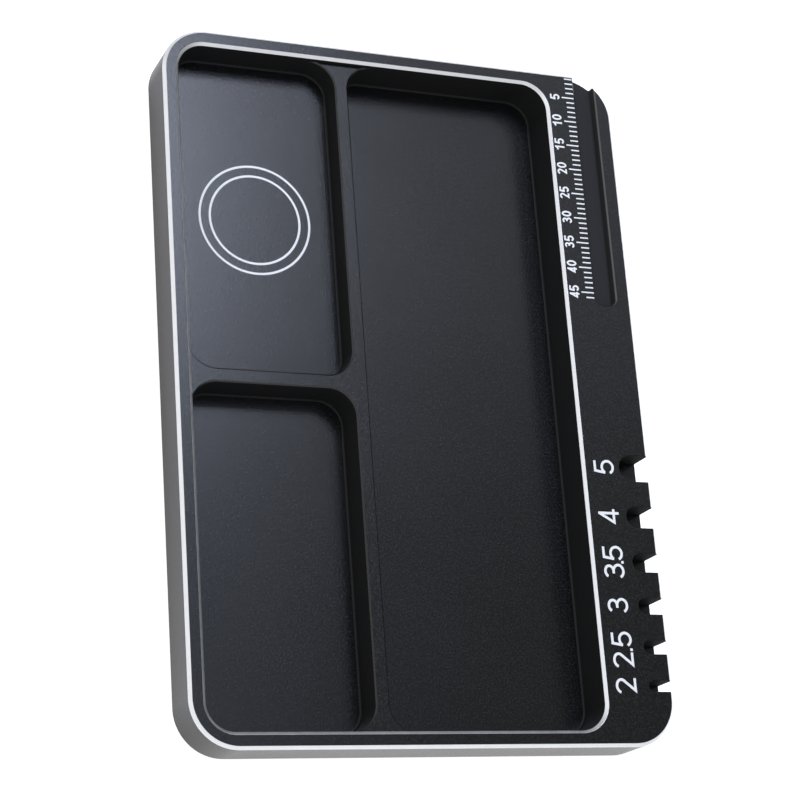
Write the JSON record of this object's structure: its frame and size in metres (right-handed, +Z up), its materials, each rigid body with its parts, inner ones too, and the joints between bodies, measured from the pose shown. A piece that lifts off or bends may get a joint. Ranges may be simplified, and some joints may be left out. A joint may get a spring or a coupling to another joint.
{
  "type": "magnetic screw tray",
  "caption": "Flat milled aluminium tray with walled compartments, a magnet under one of them, a ruler groove and screw gauge notches along one side.",
  "frame": {"origin": "on the table plane under the centre of the tray, at the soles of the feet", "axes": "+X towards the gauge strip, +Y along the tray towards the open end of the ruler groove, +Z up out of the compartments"},
  "size_m": [0.09, 0.13, 0.0105],
  "materials": {
    "anodised_black": "bead-blasted satin black anodising with bright cut edges",
    "nickel_plate": "bright nickel plating",
    "foot_rubber": "matt black",
    "laser_mark": "matt white laser marking"
  },
  "bodies": {
    "root": {"tray_body": "anodised_black", "magnet_disc": "nickel_plate", "magnet_cover": "anodised_black", "foot_near_left": "foot_rubber", "foot_near_right": "foot_rubber", "foot_far_left": "foot_rubber", "foot_far_right": "foot_rubber"}
  },
  "joints": []
}
